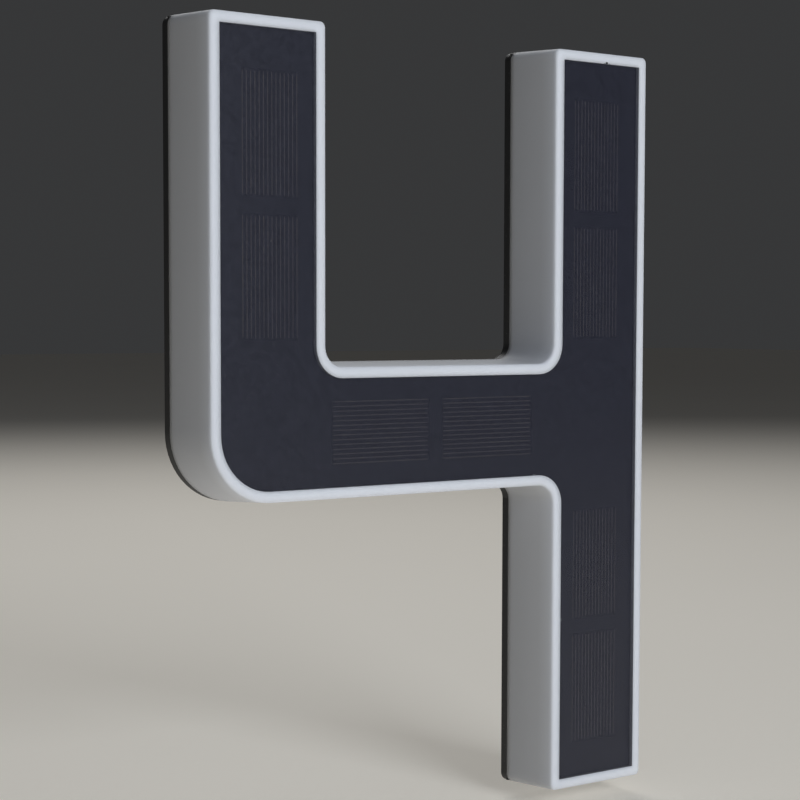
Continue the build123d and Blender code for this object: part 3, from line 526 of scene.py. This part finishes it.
# %% Boards and cells
green_board = finish_material("green board", (0.025, 0.14, 0.06), drift=0.08, roughness=0.35,
                              fine=2000.0, bump=0.00001, wear=(0.35, 0.33, 0.2))
white_board = finish_material("white board", (0.82, 0.82, 0.79), drift=0.03, roughness=0.4,
                              fine=2000.0, bump=0.00001)
solar_board = finish_material("black board", (0.010, 0.011, 0.013), drift=0.1, roughness=0.5,
                              fine=2000.0, bump=0.00001)
solar_cell = finish_material("silicon cell", (0.012, 0.016, 0.034), drift=0.25, roughness=0.25,
                             fine=1200.0, broad=90.0, bump=0.000004)
battery_sleeve = finish_material("battery sleeve", (0.10, 0.32, 0.18), drift=0.04,
                                 roughness=0.3, fine=900.0, bump=0.00001)

# %% Which finish each CAD node takes
finish_of = {
    "panel_tape": black_tape, "back_cover": black_plastic, "cover_seal": seal_rubber,
    "cover_screws": zinc_steel, "battery": battery_sleeve, "battery_contact_positive": nickel,
    "battery_contact_negative": nickel, "battery_spring": nickel, "battery_door": black_plastic,
    "battery_door_seal": seal_rubber, "battery_door_screws": zinc_steel,
    "control_board": green_board, "control_board_screws": zinc_steel,
    "control_chip": component, "boost_inductor": ferrite, "smoothing_capacitor": bare_can,
    "switch_body": component, "switch_knob": component, "led_board_left_arm": white_board,
    "led_board_crossbar": white_board, "led_board_upper_stem": white_board,
    "led_boards_lower_stem": white_board, "leds": led_package,
    "solar_leads_positive": lead_red, "led_leads_positive": lead_red,
    "battery_lead_positive": lead_red, "solar_leads_negative": lead_black,
    "led_leads_negative": lead_black, "battery_lead_negative": lead_black,
}
for stroke in strokes:
    finish_of[f"solar_board_{stroke}"] = solar_board
    finish_of[f"solar_cells_{stroke}"] = solar_cell
for name, material in finish_of.items():
    dress(name, material)
print("dressed nodes:", len(finish_of) + 2)

# %% [markdown]
# ## Contact lines on the solar cells
#
# Each cell carries fourteen fine silver lines along its long side, which gather the
# current. They could be painted in the cell's material, but a line of paste stands a
# hair above the silicon and catches the light through the smoked window, so here each
# is a thin real strip: a cube from bmesh, scaled and moved to its place, then copied
# across the cell.

# %% Silver paste
silver_paste = finish_material("silver paste", (0.47, 0.40, 0.32), drift=0.75, roughness=0.45,
                               fine=6000.0, broad=420.0, bump=0.00001,
                               speck=(0.72, 0.64, 0.46), speck_size=0.3)
lines_per_cell = 14
line_pitch = 1.17 * mm
line_width = 0.22 * mm
line_height = 0.03 * mm
line_end_gap = 0.6 * mm


def strip(work, low, high):
    """A box between two corners, from a unit cube."""
    size = [high[axis] - low[axis] for axis in range(3)]
    centre = [(high[axis] + low[axis]) / 2 for axis in range(3)]
    cube = bmesh.ops.create_cube(work, size=1.0)["verts"]
    bmesh.ops.scale(work, vec=size, verts=cube)
    bmesh.ops.translate(work, vec=centre, verts=cube)
    return cube


def finish_piece(work, name, material, body="sign", smooth=False, replaced=None):
    """Turns a bmesh into a named object with its material, riding on a CAD body."""
    bmesh.ops.recalc_face_normals(work, faces=work.faces)
    mesh = bpy.data.meshes.new(name)
    work.to_mesh(mesh)
    work.free()
    if smooth:
        mesh.shade_smooth()
        mesh.set_sharp_from_angle(angle=radians(32))
    mesh.materials.append(material)
    piece = bpy.data.objects.new(name, mesh)
    bpy.context.scene.collection.objects.link(piece)
    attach(piece, body)
    if replaced:
        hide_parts(replaced)
    print(f"{name}: {len(mesh.polygons)} faces")
    return piece


# %% Fourteen lines on each of two cells in a module
def contact_lines(stroke):
    """The printed lines on one module's cells, along the module's longer side."""
    boxes, along, across = cell_boxes(stroke)
    work = bmesh.new()
    for low, high in boxes:
        middle = (high[across] + low[across]) / 2
        for line in range(lines_per_cell):
            place = middle + (line - (lines_per_cell - 1) / 2) * line_pitch
            corner_low = [0, low[1] - line_height, 0]
            corner_high = [0, low[1], 0]
            corner_low[along], corner_high[along] = low[along] + line_end_gap, high[along] - line_end_gap
            corner_low[across], corner_high[across] = place - line_width / 2, place + line_width / 2
            strip(work, corner_low, corner_high)
    finish_piece(work, f"contact_lines_{stroke}", silver_paste)


for stroke in strokes:
    contact_lines(stroke)

# %% [markdown]
# ## Turned pieces
#
# Screws, a battery and a wound coil are round about one axis. Each starts as half of its
# outline, a few points of radius and height as for a lathe, and bmesh spins that line
# once round. Stacked cylinders would be quicker, but they have no rounded shoulders.

# %% A turning helper
def turned(work, profile, steps=32, closed=False):
    """Spins points of radius and height once round Z, and gives the new vertices."""
    before = set(work.verts)
    line = [work.verts.new((radius, 0.0, height)) for radius, height in profile]
    pairs = list(zip(line, line[1:]))
    if closed:
        pairs.append((line[-1], line[0]))
    edges = [work.edges.new(pair) for pair in pairs]
    bmesh.ops.spin(work, geom=line + edges, cent=(0, 0, 0), axis=(0, 0, 1), angle=2 * pi,
                   steps=steps, use_merge=True)
    made = [vert for vert in work.verts if vert not in before]
    bmesh.ops.remove_doubles(work, verts=made, dist=0.000001)
    return [vert for vert in work.verts if vert not in before]


def scaled(points, unit=mm):
    """Points in millimetres made metres."""
    return [(radius * unit, height * unit) for radius, height in points]


# %% [markdown]
# Several nodes hold more than one solid, such as the five cover screws. A detailed piece
# that takes the place of such a node stands exactly where each solid stands, so the
# solids' own boxes are measured: a copy of the mesh is merged and walked from point to
# neighbouring point until every island has been found.

# %% The box of each solid in a node
def islands(name):
    """The low and high corners of a node's separate solids."""
    copy = bmesh.new()
    copy.from_mesh(nodes[name].data)
    bmesh.ops.remove_doubles(copy, verts=copy.verts, dist=0.000005)
    left = set(copy.verts)
    boxes = []
    while left:
        reach = [left.pop()]
        points = []
        while reach:
            vert = reach.pop()
            points.append(vert.co.copy())
            near = [edge.other_vert(vert) for edge in vert.link_edges]
            fresh = [other for other in near if other in left]
            left.difference_update(fresh)
            reach.extend(fresh)
        low = Vector([min(point[axis] for point in points) for axis in range(3)])
        high = Vector([max(point[axis] for point in points) for axis in range(3)])
        boxes.append((low, high))
    copy.free()
    return boxes


print("screws found:", {name: len(islands(name)) for name in
                        ("cover_screws", "battery_door_screws", "control_board_screws")})

# %% [markdown]
# ## Screws
#
# A pan head is a low dome with a cross pressed into it, and the shank is cut with a real
# helical thread. The dome is turned. The cross is a loop of twelve points, bridged to the
# dome's open ring and then pushed down and drawn in, as the punch leaves it. The thread
# is one tooth of the outline that spin carries round and down at once: with dvec each
# step sinks a little, so that after a whole turn a tooth meets the one before it.

# %% The cross recess
def cross_recess(work, head, reach, half, top, depth):
    """Closes a head's open top with a tapered cross recess."""
    corners = [(reach, -half), (reach, half), (half, half), (half, reach), (-half, reach),
               (-half, half), (-reach, half), (-reach, -half), (-half, -half), (-half, -reach),
               (half, -reach), (half, -half)]
    rim = [edge for vert in head for edge in vert.link_edges if edge.is_boundary]
    mouth = [work.verts.new((x, y, top)) for x, y in corners]
    lip = [work.edges.new(pair) for pair in zip(mouth, mouth[1:] + mouth[:1])]
    bmesh.ops.bridge_loops(work, edges=list(set(rim)) + lip)
    wall = bmesh.ops.extrude_edge_only(work, edges=lip)["geom"]
    floor_verts = [item for item in wall if isinstance(item, bmesh.types.BMVert)]
    bmesh.ops.translate(work, vec=(0, 0, -depth), verts=floor_verts)
    bmesh.ops.scale(work, vec=(0.6, 0.6, 1.0), verts=floor_verts)
    floor_edges = {edge for vert in floor_verts for edge in vert.link_edges if edge.is_boundary}
    bmesh.ops.edgeloop_fill(work, edges=list(floor_edges))


# %% The thread
thread_steps = 14


def thread(work, core, outer, pitch, length):
    """A helical thread down the Z axis, from inside the head to its blunt point."""
    before = set(work.verts)
    tooth = [work.verts.new(point) for point in
             ((core, 0, pitch), (outer, 0, 0.5 * pitch), (core, 0, 0.0))]
    edges = [work.edges.new(pair) for pair in zip(tooth, tooth[1:])]
    turns = int(length / pitch)
    bmesh.ops.spin(work, geom=tooth + edges, cent=(0, 0, 0), axis=(0, 0, 1), angle=2 * pi * turns,
                   dvec=(0, 0, -pitch / thread_steps), steps=turns * thread_steps)
    made = [vert for vert in work.verts if vert not in before]
    bmesh.ops.remove_doubles(work, verts=made, dist=0.000002)
    made = [vert for vert in work.verts if vert not in before]
    ends = {edge for vert in made for edge in vert.link_edges if edge.is_boundary}
    bmesh.ops.holes_fill(work, edges=list(ends), sides=0)
    end = -length
    turned(work, [(0, end + 2 * pitch), (core, end + 2 * pitch), (core * 0.98, end + 0.4 * pitch),
                  (core * 0.55, end), (0, end)], steps=thread_steps)


# %% A whole screw in the box of its plain solid
def screw(work, low, high, head_height, core_share, pitch, toward, domed=True):
    """A screw that fills a box along Y; toward is the side that its head faces."""
    before = set(work.verts)
    radius = (high[0] - low[0]) / 2
    length = high[1] - low[1] - head_height
    dome = [(0.72, 1.0), (0.86, 0.93), (0.95, 0.76), (1.0, 0.5), (1.0, 0.12), (0.97, 0.0), (0.0, 0.0)]
    flat = [(0.72, 1.0), (0.93, 1.0), (1.0, 0.9), (1.0, 0.1), (0.97, 0.0), (0.0, 0.0)]
    outline = [(share * radius, rise * head_height) for share, rise in (dome if domed else flat)]
    head = turned(work, outline, steps=36)
    cross_recess(work, head, 0.6 * radius, 0.35 * mm, head_height, min(0.7 * mm, 0.8 * head_height))
    shank = 0.53 * radius
    thread(work, core_share * shank, shank, pitch, length)
    made = [vert for vert in work.verts if vert not in before]
    seat = high[1] - head_height if toward > 0 else low[1] + head_height
    place = Matrix.Translation(((low[0] + high[0]) / 2, seat, (low[2] + high[2]) / 2))
    bmesh.ops.transform(work, matrix=place @ Matrix.Rotation(-toward * pi / 2, 4, "X"), verts=made)


def screws(name, node, body, head_height, core_share, pitch, toward, domed=True):
    """All the screws of one node, as one piece that replaces it."""
    work = bmesh.new()
    for low, high in islands(node):
        screw(work, low, high, head_height, core_share, pitch, toward, domed)
    finish_piece(work, name, zinc_steel, body, True, node)


screws("cover_pan_screws", "cover_screws", "sign", 1.6 * mm, 0.8, 0.9 * mm, 1)
screws("door_flush_screws", "battery_door_screws", "battery_door", 0.8 * mm, 0.82, 0.5 * mm, 1, False)
screws("board_pan_screws", "control_board_screws", "sign", 1.0 * mm, 0.8, 0.6 * mm, -1)

# %% [markdown]
# ## Battery
#
# A rechargeable cell is a nickel-plated can in a shrunk plastic sleeve. The sleeve curls
# over both shoulders, a card ring sits round the raised contact, and the bare metal shows
# inside the ring. Three turned pieces, because they are three things on the real cell.

# %% The cell's can, sleeve and ring
def cell_piece(name, profile, material, closed=False, replaced=None, steps=48):
    """A turned part of the battery, stood in the CAD cell's place."""
    low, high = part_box("battery")
    work = bmesh.new()
    turned(work, scaled(profile), steps, closed)
    middle = Vector(((low[0] + high[0]) / 2, (low[1] + high[1]) / 2, low[2]))
    bmesh.ops.translate(work, vec=middle, verts=work.verts)
    return finish_piece(work, name, material, "sign", True, replaced)


can_outline = [(0, 0.0), (4.9, 0.0), (5.3, 0.12), (5.62, 0.5), (5.62, 48.3), (5.3, 48.68), (2.78, 48.74),
               (2.75, 50.1), (2.63, 50.38), (2.35, 50.5), (0, 50.5)]
sleeve_outline = [(5.65, 0.62), (5.75, 0.34), (6.1, 0.2), (6.65, 0.24), (7.05, 0.5), (7.25, 1.0),
                  (7.25, 48.0), (7.05, 48.55), (6.65, 48.88), (6.1, 48.96), (5.75, 48.9), (5.65, 48.6)]
ring_outline = [(2.95, 48.72), (2.95, 48.93), (5.6, 48.93), (5.6, 48.72)]

card = finish_material("card ring", (0.78, 0.77, 0.72), drift=0.06, roughness=0.8, fine=2500.0,
                       bump=0.00003)
cell_piece("battery_can", can_outline, nickel)
cell_piece("battery_sleeve", sleeve_outline, battery_sleeve, True, "battery")
cell_piece("battery_ring", ring_outline, card, True)

# %% A pale band round the sleeve
def sleeve_band(material):
    """Mixes a pale band over the sleeve, near its raised contact."""
    low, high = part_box("battery")
    tree = material.node_tree
    shader = tree.nodes["Principled BSDF"]
    band = add_node(tree, "ShaderNodeGroup", node_tree=pane_group)
    band.inputs["Middle"].default_value = ((low[0] + high[0]) / 2, 0.0, high[2] - 9.0 * mm)
    band.inputs["Half"].default_value = (0.02, 1.0, 3.2 * mm)
    tree.links.new(tree.nodes["Texture Coordinate"].outputs["Object"], band.inputs["Vector"])
    under = shader.inputs["Base Color"].links[0].from_socket
    tree.links.new(lay_over(tree, under, (0.74, 0.76, 0.72), band.outputs["Mask"]),
                   shader.inputs["Base Color"])


sleeve_band(battery_sleeve)

# %% [markdown]
# ## Coil spring
#
# The negative contact is a tapered coil of round wire. Its centre line is a helix whose
# radius shrinks as it climbs. A curve with a round bevel gives the wire its thickness and
# its capped ends at once, where spin would need a new radius at every step. The curve is
# then turned into a mesh.

# %% The spring on the lower contact
spring_turns = 3.5
points_per_turn = 28
wire_radius = 0.3 * mm
narrow_radius = 3.0 * mm


def battery_axis_depth():
    """How far the battery's axis lies from the wall."""
    low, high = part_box("battery")
    return -(low[1] + high[1]) / 2


def coil_mesh(name):
    """A mesh of round wire along a helix that fills the CAD spring's box."""
    low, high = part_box("battery_spring")
    wide_radius = (high[0] - low[0]) / 2 - wire_radius
    centre_x = low[0] + wide_radius + wire_radius
    centre_y = -battery_axis_depth()
    count = int(spring_turns * points_per_turn) + 1
    line = bpy.data.curves.new(name, "CURVE")
    line.dimensions = "3D"
    line.bevel_depth = wire_radius
    line.bevel_resolution = 3
    line.use_fill_caps = True
    path = line.splines.new("POLY")
    path.points.add(count - 1)
    for index in range(count):
        turn = index / points_per_turn
        share = turn / spring_turns
        radius = wide_radius + (narrow_radius - wide_radius) * share
        rise = low[2] + wire_radius + (high[2] - low[2] - 2 * wire_radius) * share
        path.points[index].co = (centre_x + radius * cos(2 * pi * turn),
                                 centre_y + radius * sin(2 * pi * turn), rise, 1.0)
    holder = bpy.data.objects.new(name, line)
    bpy.context.scene.collection.objects.link(holder)
    bpy.context.view_layer.update()
    mesh = bpy.data.meshes.new_from_object(holder)
    bpy.data.objects.remove(holder)
    return mesh


coil_work = bmesh.new()
coil_work.from_mesh(coil_mesh("coil_line"))
finish_piece(coil_work, "battery_coil", nickel, "sign", True, "battery_spring")

# %% [markdown]
# ## Small electrical detail
#
# Two things on the boards are worth their own shape: the copper that fills the choke's
# drum, a turned sleeve with a wavy outside, and the yellow phosphor face of every LED,
# which is the one part of a lamp that a buyer would look for.

# %% Copper winding on the choke
copper = finish_material("enamelled copper", (0.72, 0.30, 0.11), drift=0.08, roughness=0.3,
                         fine=2500.0, bump=0.00001, metallic=1.0)


def choke_winding():
    """Wire wound between the drum's two flanges, drawn as a wavy sleeve."""
    low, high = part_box("boost_inductor")
    first, last, bottom, crest, wires = 0.95, 3.35, 2.2, 2.4, 10
    pitch = (last - first) / wires
    outline = [(1.92, first)]
    for wire in range(wires):
        outline.append((bottom, first + wire * pitch))
        outline.append((crest, first + (wire + 0.5) * pitch))
    outline += [(bottom, last), (1.92, last)]
    work = bmesh.new()
    turned(work, scaled(outline), 28, True)
    place = Matrix.Translation(((low[0] + high[0]) / 2, high[1], (low[2] + high[2]) / 2))
    bmesh.ops.transform(work, matrix=place @ Matrix.Rotation(pi / 2, 4, "X"), verts=work.verts)
    finish_piece(work, "choke_winding", copper, "sign", True)


choke_winding()

# %% Phosphor faces
phosphor = finish_material("phosphor", (0.90, 0.66, 0.08), drift=0.05, roughness=0.55, fine=5000.0,
                           bump=0.00002)
phosphor_radius = 1.1 * mm
phosphor_rise = 0.06 * mm


def phosphor_faces():
    """A shallow disc on the lit side of each LED."""
    stem_middle = sum(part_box("led_boards_lower_stem")[side][0] for side in (0, 1)) / 2
    work = bmesh.new()
    for low, high in islands("leds"):
        middle = (low + high) / 2
        if high[0] - low[0] < high[1] - low[1]:
            side = 1 if middle[0] > stem_middle else -1
            face = Vector((high[0] if side > 0 else low[0], middle[1], middle[2]))
            turn = Matrix.Rotation(side * pi / 2, 4, "Y")
        else:
            face = Vector((middle[0], low[1], middle[2]))
            turn = Matrix.Rotation(pi / 2, 4, "X")
        disc = turned(work, [(0, phosphor_rise), (0.8 * phosphor_radius, phosphor_rise),
                             (phosphor_radius, 0), (0, 0)], 16)
        bmesh.ops.transform(work, matrix=Matrix.Translation(face) @ turn, verts=disc)
    finish_piece(work, "led_phosphor", phosphor, "sign", True)


phosphor_faces()

# %% [markdown]
# ## Floor, light and camera
#
# The sign hangs on a wall mount, so the floor lies just below it. Soft light from a large
# lamp in front keeps the shadows gentle. It stands near the sign's own axis: from there it
# fills the rim, leaves the side walls in half shade, and its mirror image in the dark
# window falls well beside the camera, so the window stays dark.

# %% Floor
floor_mesh = bpy.data.meshes.new("floor")
floor_work = bmesh.new()
bmesh.ops.create_grid(floor_work, x_segments=1, y_segments=1, size=6.0)
bmesh.ops.translate(floor_work, vec=(0, 0, cad_box[0][2] - 0.004), verts=floor_work.verts)
floor_work.to_mesh(floor_mesh)
floor_work.free()
floor = bpy.data.objects.new("floor", floor_mesh)
bpy.context.scene.collection.objects.link(floor)
floor_paint = finish_material("pale floor", (0.86, 0.81, 0.72), drift=0.02, roughness=0.8,
                              fine=300.0, broad=3.0, bump=0.0001)


def painted_light_pool(tree, shader, near, far, dark):
    """Painted light: a faint glow of the floor's own, brightest near the sign and fading out with the
    distance from it.
    """
    away = add_node(tree, "ShaderNodeVectorMath", operation="LENGTH")
    share = add_node(tree, "ShaderNodeMapRange", interpolation_type="SMOOTHSTEP")
    share.inputs["From Min"].default_value = near
    share.inputs["From Max"].default_value = far
    mix = add_node(tree, "ShaderNodeMix", data_type="RGBA")
    mix.inputs["A"].default_value = (1.0, 0.97, 0.90, 1.0)
    mix.inputs["B"].default_value = (dark, dark, dark, 1.0)
    tree.links.new(tree.nodes["Texture Coordinate"].outputs["Object"], away.inputs[0])
    tree.links.new(away.outputs["Value"], share.inputs["Value"])
    tree.links.new(share.outputs["Result"], mix.inputs["Factor"])
    tree.links.new(mix.outputs["Result"], shader.inputs["Emission Color"])
    shader.inputs["Emission Strength"].default_value = 0.17


# A painted pool of light on the floor: it glows faintly near the sign and fades to dark far off.
painted_light_pool(floor_paint.node_tree, floor_paint.node_tree.nodes["Principled BSDF"], 0.3, 2.2, 0.04)
floor_mesh.materials.append(floor_paint)


# %% Lamps
def soft_lamp(name, place, aim, size, power, spread=180.0, colour=(1.0, 1.0, 1.0)):
    """A large area lamp that looks at a point and that no view sees."""
    data = bpy.data.lights.new(name, "AREA")
    data.shape = "RECTANGLE"
    data.size, data.size_y = size
    data.energy = power
    data.spread = radians(spread)
    data.color = colour
    lamp = bpy.data.objects.new(name, data)
    lamp.location = place
    lamp.rotation_euler = (Vector(aim) - Vector(place)).to_track_quat("-Z", "Y").to_euler()
    lamp.visible_camera = False
    bpy.context.scene.collection.objects.link(lamp)
    return lamp


soft_lamp("front lamp", (-0.05, -1.30, 0.36), (0.0, 0.0, 0.03), (0.7, 0.7), 2.55, 80.0,
          (0.91, 0.97, 1.05))
soft_lamp("top lamp", (0.1, -0.1, 1.3), (0.0, 0.0, 0.0), (0.9, 0.9), 1.0)
soft_lamp("back lamp", (0.45, 0.9, 0.95), (0.0, 0.0, 0.0), (0.8, 0.8), 4.0)
soft_lamp("under card", (-0.055, -0.014, -0.1015), (-0.055, -0.014, 0.0), (0.08, 0.03), 0.002, 70.0)

# %% Soft room light
world = bpy.data.worlds.new("room")
world.use_nodes = True
world.node_tree.nodes["Background"].inputs["Color"].default_value = (0.95, 0.97, 1.0, 1.0)
world.node_tree.nodes["Background"].inputs["Strength"].default_value = 0.04
bpy.context.scene.world = world
bpy.context.scene.view_settings.view_transform = "Standard"
bpy.context.scene.view_settings.look = "None"

# %% [markdown]
# ## Camera
#
# The camera stands to the left of the sign at the height of the crossbar. Its lens and
# place were worked out from where the window's corners fall in the picture.

# %% Camera
camera_data = bpy.data.cameras.new("camera")
camera_data.sensor_width = 36.0
camera_data.lens = 84.9
camera_data.shift_x = -0.0113
camera_data.shift_y = 0.0519
camera_data.clip_start = 0.01
camera = bpy.data.objects.new("camera", camera_data)
camera.location = (-0.2917, -0.4021, 0.0279)
camera_way = Vector((0.5911, 0.8040, -0.0648)).normalized()
camera_roll = Matrix.Rotation(radians(0.13), 4, "Z")
camera.matrix_world = (Matrix.Translation(camera.location)
                       @ camera_way.to_track_quat("-Z", "Y").to_matrix().to_4x4() @ camera_roll)
bpy.context.scene.collection.objects.link(camera)
bpy.context.scene.camera = camera
